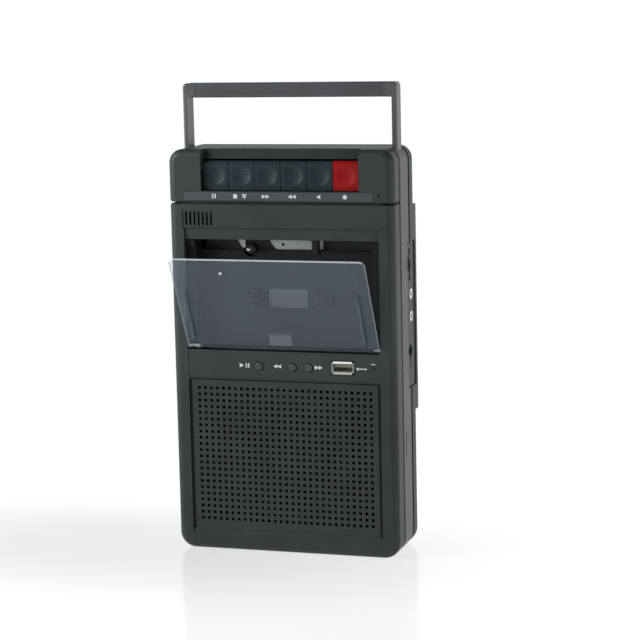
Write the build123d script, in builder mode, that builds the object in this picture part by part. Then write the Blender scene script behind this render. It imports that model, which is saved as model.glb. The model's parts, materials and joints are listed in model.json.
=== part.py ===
from build123d import *

import math
import os

# A portable cassette player standing on its speaker end.
# Frame: X to the right, Y from front to back, Z up; the origin is the middle of the base end face.

# ---------------------------------------------------------------- case (all sizes in mm)
BODY_W = 136.0
BODY_H = 238.0
HALF_W = BODY_W / 2
FRONT_Y = -24.0
BACK_Y = 24.0
HUMP_Y = 30.0
HUMP_LOW = 81.0
HUMP_HIGH = 203.0
WALL = 2.2
LOW_CORNER_R = 9.5
HIGH_CORNER_R = 8.0
FRONT_EDGE_R = 4.5
BACK_EDGE_R = 6.0
SHELL_BACK = -11.1
BAND_FRONT = -8.2
BAND_BACK = 9.0
COVER_FRONT = 11.6
GROOVE = 1.6
SHELL_TOP = 206.6
HOUSING_LOW = 207.6
INNER_FRONT = FRONT_Y + WALL
INNER_BACK = BACK_Y - WALL

# ---------------------------------------------------------------- front openings
GRILLE_PITCH = 3.75
GRILLE_COLUMNS = 29
GRILLE_ROWS = 22
GRILLE_HOLE = 1.75
GRILLE_Z = 58.4
GRILLE_LOW = 12.8
GRILLE_HIGH = 103.6
GRILLE_HALF = 58.7
STRIP_LOW = 104.2
STRIP_HIGH = 119.6
RECESS_HALF = 59.0
RECESS_LOW = 120.6
LEDGE_LOW = 185.8
LEDGE_HIGH = 192.8
LEDGE_TOP_Y = -22.95
RECESS_Y = -21.0
FRAME_BACK = -18.4
WELL_HALF = 53.8

# ---------------------------------------------------------------- lid
LID_OPEN_DEG = 28.0
LID_AXIS_Y = -22.0
LID_AXIS_Z = 122.9
LID_HALF = 58.2
LID_LENGTH = 62.6
LID_THICK = 2.0
LID_PIN_R = 1.0

# ---------------------------------------------------------------- keys
KEY_PITCH = 15.8
KEY_W = 15.4
KEY_LOW = 214.4
KEY_HIGH = 231.3
KEY_FRONT = -20.7
DISH_R = 24.0
DISH_DEPTH = 0.7
DISH_Z = 222.9
KEY_AXIS_Y = -16.0
KEY_AXIS_Z = 200.0
KEY_SHAFT_R = 1.5
KEY_NAMES = ("pause", "stop_eject", "fast_forward", "rewind", "play", "record")
KEY_OPENING_HALF = 47.7
KEY_OPENING_LOW = 214.0
LINTEL_LOW = 232.5

# ---------------------------------------------------------------- tape deck
REEL_X = 21.25
REEL_Z = 150.0
CAPSTAN_X = -22.8
CAPSTAN_Z = 179.0
CAPSTAN_R = 1.0
CHASSIS_FRONT = -6.2
CHASSIS_BACK = -5.0
SLED_FRONT = -7.9
SLED_BACK = -6.9
SLED_TOP = 204.4
SPRING_X = 32.6
TRAY_FLOOR_FRONT = -9.7
TRAY_FLOOR_BACK = -8.2
TRAY_FLOOR_TOP = 178.2
TRAY_HALF = 55.4
TRAY_WALL = 1.4
TRAY_LOW = 117.4
TRAY_HIGH = 186.2
FLYWHEEL_R = 22.0
PULLEY_R = 4.2
BELT_Y = 17.0
BELT_GAP = 0.3
BELT_THICK = 1.1
MOTOR_X = 22.0
MOTOR_Z = 178.0
MOTOR_R = 15.0
TABLE_R = 12.0
HUB_R = 4.8
TYRE_R = 7.2
WHEEL_GAP = 0.15
ARM_PIVOT_X = -38.0
ARM_PIVOT_Z = 190.0
ARM_REACH = 14.36
ROLLER_R = 5.0
ROLLER_X = ARM_PIVOT_X + ARM_REACH
RUNNING = 0.05

# ---------------------------------------------------------------- handle
ARM_IN = 62.2
ARM_OUT = 65.1
ARM_FRONT = -3.2
ARM_BACK = 7.3
BAR_LOW = 266.7
BAR_HIGH = 275.2
GRIP_HALF = 59.5
FOOT_Z = 225.0
PEG_Z = 227.0
HANDLE_TRAVEL = 29.0

# ---------------------------------------------------------------- side controls and speaker
JACK_PLATE_LOW = 96.2
JACK_PLATE_HIGH = 182.0
JACK_PLATE_FRONT = 4.8
JACK_PLATE_BACK = 22.0
VOLUME_X = 56.2
VOLUME_Y = 8.8
VOLUME_Z = 168.8
VOLUME_R = 13.0
JACK_Y = 10.8
JACK_HEIGHTS = (151.4, 138.2)
DC_Y = 8.8
DC_Z = 118.0
BUTTON_Z = 111.7
BUTTON_PLACES = {"play_pause": -15.0, "forward": 5.5, "rewind": 15.5}
BUTTON_R = 2.3
BUTTON_HOLE_R = 2.7
USB_X = 36.15
USB_Z = 112.4
LED_X = 54.4
LED_Z = 112.3
SPEAKER_R = 38.5
BOARD_FRONT = 14.0
BOARD_BACK = 15.6
BAY_HALF = 31.4
BAY_LOW = 23.0
BAY_HIGH = 75.4
BAY_FRONT = 6.2
BAY_WALL = 1.6
DOOR_HALF = 34.0
DOOR_LOW = 21.0
DOOR_HIGH = 77.4
DOOR_Y = 22.1
DOOR_GAP = 0.2
SCREW_PLACES = ((57.0, 8.6), (59.8, 107.2), (59.8, 190.0))
SCREW_SEAT = -6.4
POST_SPLIT = -8.9

os.makedirs("parts", exist_ok=True)


def front_plane(y):
    """Plane at depth y that faces the front: its own axes are X and Z."""
    return Plane.XZ.offset(-y)


def block(xs, ys, zs, mode=Mode.ADD):
    """Rectangular block between pairs of limits."""
    with Locations(((xs[0] + xs[1]) / 2, (ys[0] + ys[1]) / 2, (zs[0] + zs[1]) / 2)):
        Box(xs[1] - xs[0], ys[1] - ys[0], zs[1] - zs[0], mode=mode)


def rod(start, direction, radius, length, mode=Mode.ADD):
    """Round bar from a start point along a direction."""
    with Locations(Plane(origin=start, z_dir=direction)):
        Cylinder(radius, length, align=(Align.CENTER, Align.CENTER, Align.MIN), mode=mode)


def prism(plane, points, length, mode=Mode.ADD):
    """Polygon drawn on a plane and pulled along its normal."""
    with BuildSketch(plane) as outline:
        with BuildLine():
            Polyline(*points, close=True)
        make_face()
    extrude(outline.sketch, amount=length, mode=mode)


def turned(x, z, points, mode=Mode.ADD):
    """Round piece about an axis along Y through (x, z); points are (y, radius)."""
    with BuildSketch(Plane(origin=(x, 0, z), x_dir=(0, 1, 0), z_dir=(1, 0, 0))) as profile:
        with BuildLine():
            Polyline(*points, close=True)
        make_face()
    revolve(profile.sketch, axis=Axis((x, 0, z), (0, 1, 0)), mode=mode)


def case_slab(inset, flat_y, round_y, edge_r):
    """The case outline, drawn in by inset, from its flat side to its rounded side."""
    with BuildPart() as slab:
        with BuildSketch(front_plane(flat_y)) as outline:
            with Locations((0, BODY_H / 2)):
                Rectangle(BODY_W - 2 * inset, BODY_H - 2 * inset)
            fillet(outline.vertices().group_by(Axis.Y)[0], LOW_CORNER_R - inset)
            fillet(outline.vertices().group_by(Axis.Y)[-1], HIGH_CORNER_R - inset)
        extrude(amount=flat_y - round_y)
        if edge_r > 0:
            rim = slab.faces().sort_by(Axis.Y)[0 if round_y < flat_y else -1]
            fillet(rim.edges(), edge_r)
    return slab.part


def hump_block(inset, edge_r):
    """The thick part of the back, drawn in by inset."""
    with BuildPart() as hump:
        block(
            (inset - HALF_W, HALF_W - inset),
            (COVER_FRONT, HUMP_Y - inset),
            (HUMP_LOW + inset, HUMP_HIGH - inset),
        )
        fillet(hump.faces().sort_by(Axis.Y)[-1].edges(), edge_r)
    return hump.part


def spring_coil(start, direction, radius, wire_r, pitch, height):
    """Coil spring that runs from a start point along a direction."""
    with BuildPart() as coil:
        with BuildLine():
            path = Helix(pitch, height, radius, center=start, direction=direction)
        with BuildSketch(Plane(origin=path @ 0, z_dir=path % 0)):
            Circle(wire_r)
        sweep(path=path)
    return coil.part


def write(name, piece):
    piece.label = name
    export_step(piece, f"parts/{name}.step")


# ================================================================ case
front_outer = case_slab(0, SHELL_BACK, FRONT_Y, FRONT_EDGE_R)
front_inner = case_slab(WALL, SHELL_BACK, INNER_FRONT, FRONT_EDGE_R - WALL)

with BuildPart() as front_shell:
    add(front_outer)
    add(front_inner, mode=Mode.SUBTRACT)
    split(bisect_by=Plane.XY.offset(SHELL_TOP), keep=Keep.BOTTOM)
    # bevel of the seam below the key housing
    chamfer(
        front_shell.faces()
        .filter_by(Axis.Z)
        .sort_by(Axis.Z)[-1]
        .edges()
        .filter_by(GeomType.LINE)
        .sort_by(Axis.Y)[0],
        0.8,
    )
    # lip that carries the key housing
    block((-60.5, 60.5), (INNER_FRONT, INNER_FRONT + 1.3), (203.0, 209.4))
    # frame behind the lid, the stepped ledge above it and the way into the well
    block((-61.5, 61.5), (INNER_FRONT - 0.7, FRAME_BACK), (117.6, 195.6))
    prism(
        Plane.YZ.offset(-RECESS_HALF),
        [
            (FRONT_Y - 1, RECESS_LOW),
            (FRONT_Y - 1, LEDGE_HIGH),
            (LEDGE_TOP_Y, LEDGE_HIGH),
            (LEDGE_TOP_Y + 0.3, LEDGE_LOW),
            (RECESS_Y, LEDGE_LOW),
            (RECESS_Y, RECESS_LOW),
        ],
        2 * RECESS_HALF,
        mode=Mode.SUBTRACT,
    )
    block((-WELL_HALF, WELL_HALF), (RECESS_Y - 0.5, FRAME_BACK + 1), (RECESS_LOW, LEDGE_LOW), Mode.SUBTRACT)
    for side in (-1, 1):
        # deep channel beside the well, for the lid's barrel, and the hole for its pin
        channel = sorted((side * (WELL_HALF - 0.5), side * RECESS_HALF))
        block(channel, (RECESS_Y - 0.5, -19.3), (RECESS_LOW, 181.6), Mode.SUBTRACT)
        rod((side * 58.5, LID_AXIS_Y, LID_AXIS_Z), (side, 0, 0), LID_PIN_R, 2.7, Mode.SUBTRACT)
        # hooks that hold the key shaft
        block(sorted((side * 50.0, side * 52.5)), (INNER_FRONT, -13.0), (196.4, 203.6))
        rod((side * 49.0, KEY_AXIS_Y, KEY_AXIS_Z), (side, 0, 0), KEY_SHAFT_R, 2.6, Mode.SUBTRACT)
        for x, z in SCREW_PLACES:
            rod((side * x, INNER_FRONT - 0.3, z), (0, 1, 0), 3.2, POST_SPLIT - INNER_FRONT + 0.3)
            rod((side * x, POST_SPLIT, z), (0, -1, 0), 1.42, 10.6, Mode.SUBTRACT)
    # sound slots at the upper left
    for slot in range(7):
        x = -57.2 + slot * 2.57
        block((x - 0.6, x + 0.6), (FRONT_Y - 1, FRAME_BACK + 1), (194.0, 202.0), Mode.SUBTRACT)
    block((-59.7, -58.9), (FRONT_Y - 1, FRONT_Y + 0.5), (LEDGE_HIGH - 0.8, 203.4), Mode.SUBTRACT)
    # sunk control strip with its holes
    block((-58.6, 58.6), (FRONT_Y - 1, FRONT_Y + 0.3), (STRIP_LOW, STRIP_HIGH), Mode.SUBTRACT)
    for x in BUTTON_PLACES.values():
        rod((x, FRONT_Y - 1, BUTTON_Z), (0, 1, 0), BUTTON_HOLE_R, 4.0, Mode.SUBTRACT)
    block((USB_X - 6.95, USB_X + 6.95), (FRONT_Y - 1, -20.0), (USB_Z - 4.0, USB_Z + 4.0), Mode.SUBTRACT)
    rod((LED_X, FRONT_Y - 1, LED_Z), (0, 1, 0), 1.05, 4.0, Mode.SUBTRACT)
    # opening for the grille, with a ramp along its lower edge
    block(
        (-GRILLE_HALF, GRILLE_HALF), (FRONT_Y - 1, -21.0), (GRILLE_LOW, GRILLE_HIGH), Mode.SUBTRACT
    )
    prism(
        Plane.YZ.offset(-GRILLE_HALF),
        [(FRONT_Y - 0.5, GRILLE_LOW - 4), (FRONT_Y, GRILLE_LOW - 4), (FRONT_Y + 0.8, GRILLE_LOW),
         (FRONT_Y - 0.5, GRILLE_LOW)],
        2 * GRILLE_HALF,
        mode=Mode.SUBTRACT,
    )
write("front_shell", front_shell.part)

with BuildPart() as speaker_grille:
    block((-58.6, 58.6), (-22.2, -20.8), (GRILLE_LOW + 0.1, GRILLE_HIGH - 0.1))
    block((-56.9, 56.9), (-23.2, -22.2), (GRILLE_LOW + 0.1, GRILLE_HIGH - 0.9))
    for side_x, side_z in ((-1, -1), (-1, 1), (1, -1), (1, 1)):
        place = (side_x * 30.2, -20.8, GRILLE_Z + side_z * 30.2)
        rod(place, (0, 1, 0), 2.6, 1.4)
        rod((place[0], -19.4, place[2]), (0, -1, 0), 1.02, 1.4, Mode.SUBTRACT)
    with BuildSketch(front_plane(-19.0)):
        with Locations((0, GRILLE_Z)):
            with GridLocations(GRILLE_PITCH, GRILLE_PITCH, GRILLE_COLUMNS, GRILLE_ROWS):
                Rectangle(GRILLE_HOLE, GRILLE_HOLE)
    extrude(amount=6.0, mode=Mode.SUBTRACT)
write("speaker_grille", speaker_grille.part)

with BuildPart() as cheek_walls:
    add(front_outer)
    with BuildSketch(Plane.XY.offset(226.0)):
        with Locations((-KEY_OPENING_HALF - WALL / 2, -17.5), (KEY_OPENING_HALF + WALL / 2, -17.5)):
            Rectangle(WALL, 13.0)
    extrude(amount=BODY_H - 226.0, mode=Mode.INTERSECT)

with BuildPart() as key_housing:
    add(front_outer)
    add(front_inner, mode=Mode.SUBTRACT)
    split(bisect_by=Plane.XY.offset(HOUSING_LOW), keep=Keep.TOP)
    chamfer(
        key_housing.faces()
        .filter_by(Axis.Z)
        .sort_by(Axis.Z)[0]
        .edges()
        .filter_by(GeomType.LINE)
        .sort_by(Axis.Y)[0],
        0.6,
    )
    # set-back stretch of the top edge between the two cheeks
    block(
        (-KEY_OPENING_HALF, KEY_OPENING_HALF), (FRONT_Y - 1, -14.9), (LINTEL_LOW, BODY_H + 1), Mode.SUBTRACT
    )
    prism(
        Plane.YZ.offset(-KEY_OPENING_HALF - 1),
        [(-20.0, LINTEL_LOW), (-14.9, BODY_H), (SHELL_BACK, BODY_H), (SHELL_BACK, 235.4),
         (-13.8, 235.4), (-16.6, LINTEL_LOW)],
        2 * KEY_OPENING_HALF + 2,
    )
    add(cheek_walls.part)
    block(
        (-KEY_OPENING_HALF, KEY_OPENING_HALF),
        (FRONT_Y - 1, -20.3),
        (KEY_OPENING_LOW, LINTEL_LOW + 0.1),
        Mode.SUBTRACT,
    )
    # seat of the legend strip and the microphone's hole
    block((-58.1, 55.6), (FRONT_Y - 1, FRONT_Y + 0.55), (208.5, 213.7), Mode.SUBTRACT)
    rod((59.5, FRONT_Y - 1, 212.0), (0, 1, 0), 0.7, 4.0, Mode.SUBTRACT)
write("key_housing", key_housing.part)

with BuildPart() as legend_strip:
    block((-58.0, 55.5), (FRONT_Y - 0.2, FRONT_Y + 0.55), (208.6, 213.6))
    chamfer(legend_strip.faces().sort_by(Axis.Y)[0].edges(), 0.18)
write("legend_strip", legend_strip.part)

band_outer = case_slab(0, BAND_BACK, BAND_FRONT, 0)
band_lips = case_slab(GROOVE, COVER_FRONT, SHELL_BACK, 0)
band_inner = case_slab(GROOVE + 2.6, COVER_FRONT, SHELL_BACK, 0)

with BuildPart() as mid_frame:
    add(band_outer)
    chamfer(mid_frame.faces().filter_by(Axis.Y).edges(), 0.4)
    add(band_lips)
    add(band_inner, mode=Mode.SUBTRACT)
    for side in (-1, 1):
        # channel for the handle's arm
        block(
            sorted((side * (ARM_IN - 0.3), side * (ARM_OUT + 0.3))),
            (ARM_FRONT - 0.3, ARM_BACK + 0.3),
            (194.5, BODY_H + 1),
            Mode.SUBTRACT,
        )
        # guide that holds the arm, slotted for its peg
        block(sorted((side * 60.2, side * 61.9)), (-5.4, 9.5), (195.0, 232.0))
        for ys in ((-5.4, ARM_FRONT - 0.3), (ARM_BACK + 0.3, 9.5)):
            block(sorted((side * 60.2, side * 64.2)), ys, (195.0, 232.0))
        block(sorted((side * 59.0, side * 62.0)), (0.25, 3.85), (196.0, PEG_Z + 1.8), Mode.SUBTRACT)
    # slit low on the right side
    block((HALF_W - 0.9, HALF_W + 1), (-3.9, -2.7), (57.0, 72.0), Mode.SUBTRACT)
    # notch for the jack plate
    block(
        (60.0, HALF_W + 1),
        (JACK_PLATE_FRONT - 0.1, COVER_FRONT + 0.1),
        (JACK_PLATE_LOW - 0.1, JACK_PLATE_HIGH + 0.1),
        Mode.SUBTRACT,
    )
write("mid_frame", mid_frame.part)

cover_outer = case_slab(0, COVER_FRONT, BACK_Y, BACK_EDGE_R)
cover_inner = case_slab(WALL, COVER_FRONT, INNER_BACK, BACK_EDGE_R - WALL)
hump_outer = hump_block(0, 5.5)
hump_inner = hump_block(WALL, 5.5 - WALL)

with BuildPart() as rear_cover:
    add(cover_outer)
    add(hump_outer)
    add(cover_inner, mode=Mode.SUBTRACT)
    add(hump_inner, mode=Mode.SUBTRACT)
    # battery bay: box, door seat and hollow
    block(
        (-BAY_HALF - BAY_WALL, BAY_HALF + BAY_WALL),
        (BAY_FRONT - BAY_WALL, INNER_BACK + 0.5),
        (BAY_LOW - BAY_WALL, BAY_HIGH + BAY_WALL),
    )
    block(
        (-DOOR_HALF - BAY_WALL, DOOR_HALF + BAY_WALL),
        (DOOR_Y - BAY_WALL, INNER_BACK + 0.5),
        (DOOR_LOW - BAY_WALL, DOOR_HIGH + BAY_WALL),
    )
    block((-BAY_HALF, BAY_HALF), (BAY_FRONT, BACK_Y + 1), (BAY_LOW, BAY_HIGH), Mode.SUBTRACT)
    block(
        (-DOOR_HALF - DOOR_GAP, DOOR_HALF + DOOR_GAP),
        (DOOR_Y, BACK_Y + 1),
        (DOOR_LOW - DOOR_GAP, DOOR_HIGH + DOOR_GAP),
        Mode.SUBTRACT,
    )
    # thumb scoop above the door
    with BuildSketch(front_plane(BACK_Y + 1)):
        with Locations((0, DOOR_HIGH + DOOR_GAP)):
            Circle(8.0)
    extrude(amount=2.2, mode=Mode.SUBTRACT)
    for side in (-1, 1):
        for x, z in SCREW_PLACES:
            back = HUMP_Y if HUMP_LOW < z < HUMP_HIGH else BACK_Y
            rod((side * x, POST_SPLIT, z), (0, 1, 0), 3.75, back - 1 - POST_SPLIT)
            rod((side * x, SCREW_SEAT, z), (0, 1, 0), 2.8, back + 1 - SCREW_SEAT, Mode.SUBTRACT)
            rod((side * x, POST_SPLIT - 1, z), (0, 1, 0), 1.6, 5.0, Mode.SUBTRACT)
    # notch for the jack plate
    block(
        (65.0, HALF_W + 1),
        (COVER_FRONT - 1, JACK_PLATE_BACK + 0.1),
        (JACK_PLATE_LOW - 0.1, JACK_PLATE_HIGH + 0.1),
        Mode.SUBTRACT,
    )
write("rear_cover", rear_cover.part)

with BuildPart() as battery_door:
    block((-DOOR_HALF, DOOR_HALF), (DOOR_Y + 0.1, BACK_Y), (DOOR_LOW, DOOR_HIGH))
    fillet(battery_door.edges().filter_by(Axis.Y), 2.0)
    for x in (-20.0, 0.0, 20.0):
        block((x - 0.8, x + 0.8), (DOOR_Y - 1.4, DOOR_Y + 0.2), (BAY_LOW + 1, BAY_HIGH - 1))
    # finger ribs near the upper edge
    for row in range(5):
        z = DOOR_HIGH - 5 - row * 2.4
        block((-9.0, 9.0), (BACK_Y - 0.6, BACK_Y + 1), (z - 0.6, z + 0.6), Mode.SUBTRACT)
write("battery_door", battery_door.part)

with BuildPart() as case_screws:
    for side in (-1, 1):
        for x, z in SCREW_PLACES:
            rod((side * x, SCREW_SEAT, z), (0, 1, 0), 2.5, 2.0)
            rod((side * x, SCREW_SEAT, z), (0, -1, 0), 1.4, 12.0)
            for size in ((2.8, 0.6), (0.6, 2.8)):
                block(
                    (side * x - size[0] / 2, side * x + size[0] / 2),
                    (SCREW_SEAT + 1.1, SCREW_SEAT + 2.1),
                    (z - size[1] / 2, z + size[1] / 2),
                    Mode.SUBTRACT,
                )
write("case_screws", case_screws.part)

# ================================================================ side panel with its jacks
with BuildPart() as jack_plate:
    block((65.6, HALF_W), (JACK_PLATE_FRONT, JACK_PLATE_BACK), (JACK_PLATE_LOW, JACK_PLATE_HIGH))
    chamfer(jack_plate.faces().sort_by(Axis.X)[-1].edges().filter_by(Axis.Y), 0.9)
    # lower rear step, window for the volume wheel, jack holes and a slot below the power inlet
    block(
        (HALF_W - 0.7, HALF_W + 1),
        (13.4, JACK_PLATE_BACK + 1),
        (JACK_PLATE_LOW - 1, JACK_PLATE_HIGH + 1),
        Mode.SUBTRACT,
    )
    block(
        (60.0, HALF_W + 1),
        (VOLUME_Y - 1.6, VOLUME_Y + 1.6),
        (VOLUME_Z - 9.6, VOLUME_Z + 9.6),
        Mode.SUBTRACT,
    )
    for z in JACK_HEIGHTS:
        rod((60.0, JACK_Y, z), (1, 0, 0), 3.1, 10.0, Mode.SUBTRACT)
    rod((60.0, DC_Y, DC_Z), (1, 0, 0), 3.7, 10.0, Mode.SUBTRACT)
    block((HALF_W - 0.8, HALF_W + 1), (DC_Y - 0.8, DC_Y + 0.8), (108.2, DC_Z - 3.0), Mode.SUBTRACT)
write("jack_plate", jack_plate.part)

with BuildPart() as audio_jacks:
    for z in JACK_HEIGHTS:
        block((52.0, 65.4), (JACK_Y - 3.1, JACK_Y + 3.1), (z - 3.4, z + 3.4))
        rod((65.4, JACK_Y, z), (1, 0, 0), 3.0, 2.9)
        rod((54.0, JACK_Y, z), (1, 0, 0), 1.8, 15.0, Mode.SUBTRACT)
write("audio_jacks", audio_jacks.part)

with BuildPart() as dc_jack:
    block((54.0, 65.4), (DC_Y - 3.9, DC_Y + 5.1), (DC_Z - 4.4, DC_Z + 4.4))
    rod((65.4, DC_Y, DC_Z), (1, 0, 0), 3.6, 2.1)
    rod((56.0, DC_Y, DC_Z), (1, 0, 0), 2.75, 14.0, Mode.SUBTRACT)
    rod((55.5, DC_Y, DC_Z), (1, 0, 0), 0.85, 9.5)
write("dc_jack", dc_jack.part)

with BuildPart() as volume_wheel:
    rod((VOLUME_X, 7.6, VOLUME_Z), (0, 1, 0), VOLUME_R, 2.4)
    rod((VOLUME_X, 7.0, VOLUME_Z), (0, 1, 0), 2.0 + RUNNING, 4.0, Mode.SUBTRACT)
    # knurled edge
    with BuildSketch(front_plane(10.5)):
        with Locations((VOLUME_X, VOLUME_Z)):
            with PolarLocations(VOLUME_R, 48):
                Rectangle(1.0, 0.7)
    extrude(amount=4.0, mode=Mode.SUBTRACT)
write("volume_wheel", volume_wheel.part)

# ================================================================ lid
open_rad = math.radians(LID_OPEN_DEG)
LID_PLANE = Plane(
    origin=(0, LID_AXIS_Y, LID_AXIS_Z),
    x_dir=(1, 0, 0),
    z_dir=(0, -math.cos(open_rad), -math.sin(open_rad)),
)
LID_SIDE = Plane(
    origin=(0, LID_AXIS_Y, LID_AXIS_Z),
    x_dir=(0, -math.sin(open_rad), math.cos(open_rad)),
    z_dir=(1, 0, 0),
)

with BuildPart() as cassette_lid:
    with BuildSketch(LID_PLANE) as lid_outline:
        with Locations((0, LID_LENGTH / 2)):
            Rectangle(2 * LID_HALF, LID_LENGTH)
        fillet(lid_outline.vertices().group_by(Axis.Y)[-1], 3.0)
    extrude(amount=LID_THICK)
    top_edges = cassette_lid.edges().filter_by(Axis.X).group_by(Axis.Z)[-1]
    fillet(top_edges, 0.6)
    for side in (-1, 1):
        rod((side * 55.0, LID_AXIS_Y, LID_AXIS_Z), (side, 0, 0), 2.0, LID_HALF - 55.0)
        rod((side * 54.0, LID_AXIS_Y, LID_AXIS_Z), (side, 0, 0), LID_PIN_R + RUNNING, 6.0, Mode.SUBTRACT)
        # clear web that guides one side of the cassette; local axes are up the lid and out of it
        prism(
            LID_SIDE.offset(side * 51.7 - 0.7),
            [(6.0, 0.3), (44.0, 0.3), (38.0, 4.6), (10.0, 7.0), (6.0, 5.6)],
            1.4,
        )
    # clearance for the lid spring
    with BuildSketch(LID_PLANE.offset(-1)):
        with Locations((-52.4, 0)):
            Rectangle(4.6, 5.4)
    extrude(amount=LID_THICK + 2, mode=Mode.SUBTRACT)
write("cassette_lid", cassette_lid.part)

with BuildPart() as lid_hinge_pins:
    rod((-50.6, LID_AXIS_Y, LID_AXIS_Z), (-1, 0, 0), LID_PIN_R, 10.4)
    rod((55.0, LID_AXIS_Y, LID_AXIS_Z), (1, 0, 0), LID_PIN_R, 6.0)
write("lid_hinge_pins", lid_hinge_pins.part)

write(
    "lid_spring",
    spring_coil((-53.4, LID_AXIS_Y, LID_AXIS_Z), (1, 0, 0), 1.5, 0.3, 0.8, 2.4),
)

with BuildPart() as lid_leaf_spring:
    with BuildSketch(LID_PLANE.offset(-0.05)):
        with Locations((-1.0, 5.0)):
            Rectangle(13.4, 7.5)
    extrude(amount=-0.5)
    with BuildSketch(LID_PLANE.offset(-0.55)):
        with Locations((-1.0, 8.0)):
            Rectangle(13.4, 1.4)
    extrude(amount=-1.6)
write("lid_leaf_spring", lid_leaf_spring.part)

# ================================================================ keys
def key_centre(index):
    return (index - 2.5) * KEY_PITCH


for index, key_name in enumerate(KEY_NAMES):
    x = key_centre(index)
    with BuildPart() as key:
        prism(
            Plane.YZ.offset(x - KEY_W / 2),
            [
                (KEY_FRONT, KEY_LOW),
                (KEY_FRONT, KEY_HIGH - 1.2),
                (KEY_FRONT + 0.9, KEY_HIGH),
                (-14.2, KEY_HIGH),
                (-14.2, KEY_HIGH - 2.0),
                (-17.9, KEY_HIGH - 2.0),
                (-17.9, KEY_LOW),
            ],
            KEY_W,
        )
        # shallow round dish for the finger
        with Locations((x, KEY_FRONT - DISH_R + DISH_DEPTH, DISH_Z)):
            Sphere(DISH_R, mode=Mode.SUBTRACT)
        # side cheeks and the lever that reaches the shaft
        for cheek in (x - KEY_W / 2, x + KEY_W / 2 - 1.2):
            block((cheek, cheek + 1.2), (-18.0, -14.2), (KEY_LOW, KEY_HIGH))
        prism(
            Plane.YZ.offset(x - 2.5),
            [(-18.6, 229.0), (-18.6, 203.0), (-18.2, 198.4), (-16.0, 197.0), (-13.4, 198.6),
             (-9.8, 200.4), (-9.8, 203.0), (-14.2, 205.0), (-14.2, 229.0)],
            5.0,
        )
        rod((x - 4.0, KEY_AXIS_Y, KEY_AXIS_Z), (1, 0, 0), KEY_SHAFT_R + RUNNING, 8.0, Mode.SUBTRACT)
    write("key_" + key_name, key.part)

with BuildPart() as key_shaft:
    rod((-51.4, KEY_AXIS_Y, KEY_AXIS_Z), (1, 0, 0), KEY_SHAFT_R, 102.8)
write("key_shaft", key_shaft.part)

with BuildPart() as key_return_springs:
    for index in range(len(KEY_NAMES)):
        start = (key_centre(index) + 3.6, KEY_AXIS_Y, KEY_AXIS_Z)
        add(spring_coil(start, (1, 0, 0), 2.15, 0.3, 0.8, 4.0))
write("key_return_springs", key_return_springs.part)

# ================================================================ cassette well and deck
with BuildPart() as well_tray:
    block((-TRAY_HALF, TRAY_HALF), (FRAME_BACK + 0.1, TRAY_FLOOR_BACK), (TRAY_LOW, TRAY_HIGH))
    block(
        (TRAY_WALL - TRAY_HALF, TRAY_HALF - TRAY_WALL),
        (FRAME_BACK - 1, TRAY_FLOOR_FRONT),
        (TRAY_LOW + TRAY_WALL, TRAY_HIGH + 1),
        Mode.SUBTRACT,
    )
    block(
        (TRAY_WALL - TRAY_HALF, TRAY_HALF - TRAY_WALL),
        (FRAME_BACK, TRAY_FLOOR_BACK + 1),
        (TRAY_FLOOR_TOP, TRAY_HIGH + 1),
        Mode.SUBTRACT,
    )
    for side in (-1, 1):
        rod((side * REEL_X, -12.0, REEL_Z), (0, 1, 0), 6.4, 6.0, Mode.SUBTRACT)
        rod((side * 41.5, -12.0, 163.0), (0, 1, 0), 1.6, 6.0, Mode.SUBTRACT)
        for z in (124.0, 172.0):
            rod((side * 48.0, TRAY_FLOOR_FRONT, z), (0, 1, 0), 3.0, CHASSIS_FRONT - TRAY_FLOOR_FRONT)
            rod((side * 48.0, CHASSIS_FRONT, z), (0, -1, 0), 1.22, 2.8, Mode.SUBTRACT)
    rod((CAPSTAN_X, -12.0, CAPSTAN_Z), (0, 1, 0), 4.8, 6.0, Mode.SUBTRACT)
    # raised pad between the reels
    block((-12.0, 12.0), (TRAY_FLOOR_FRONT - 0.5, TRAY_FLOOR_FRONT), (144.3, 155.7))
write("well_tray", well_tray.part)

# rubber-tyred wheel between the capstan's hub and the take-up table
reach_hub = HUB_R + TYRE_R + WHEEL_GAP
reach_table = TABLE_R + TYRE_R + WHEEL_GAP
gap_x = -REEL_X - CAPSTAN_X
gap_z = REEL_Z - CAPSTAN_Z
gap = math.hypot(gap_x, gap_z)
along = (gap**2 + reach_hub**2 - reach_table**2) / (2 * gap)
across = math.sqrt(reach_hub**2 - along**2)
IDLER_X = CAPSTAN_X + along * gap_x / gap + across * gap_z / gap
IDLER_Z = CAPSTAN_Z + along * gap_z / gap - across * gap_x / gap

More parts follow.
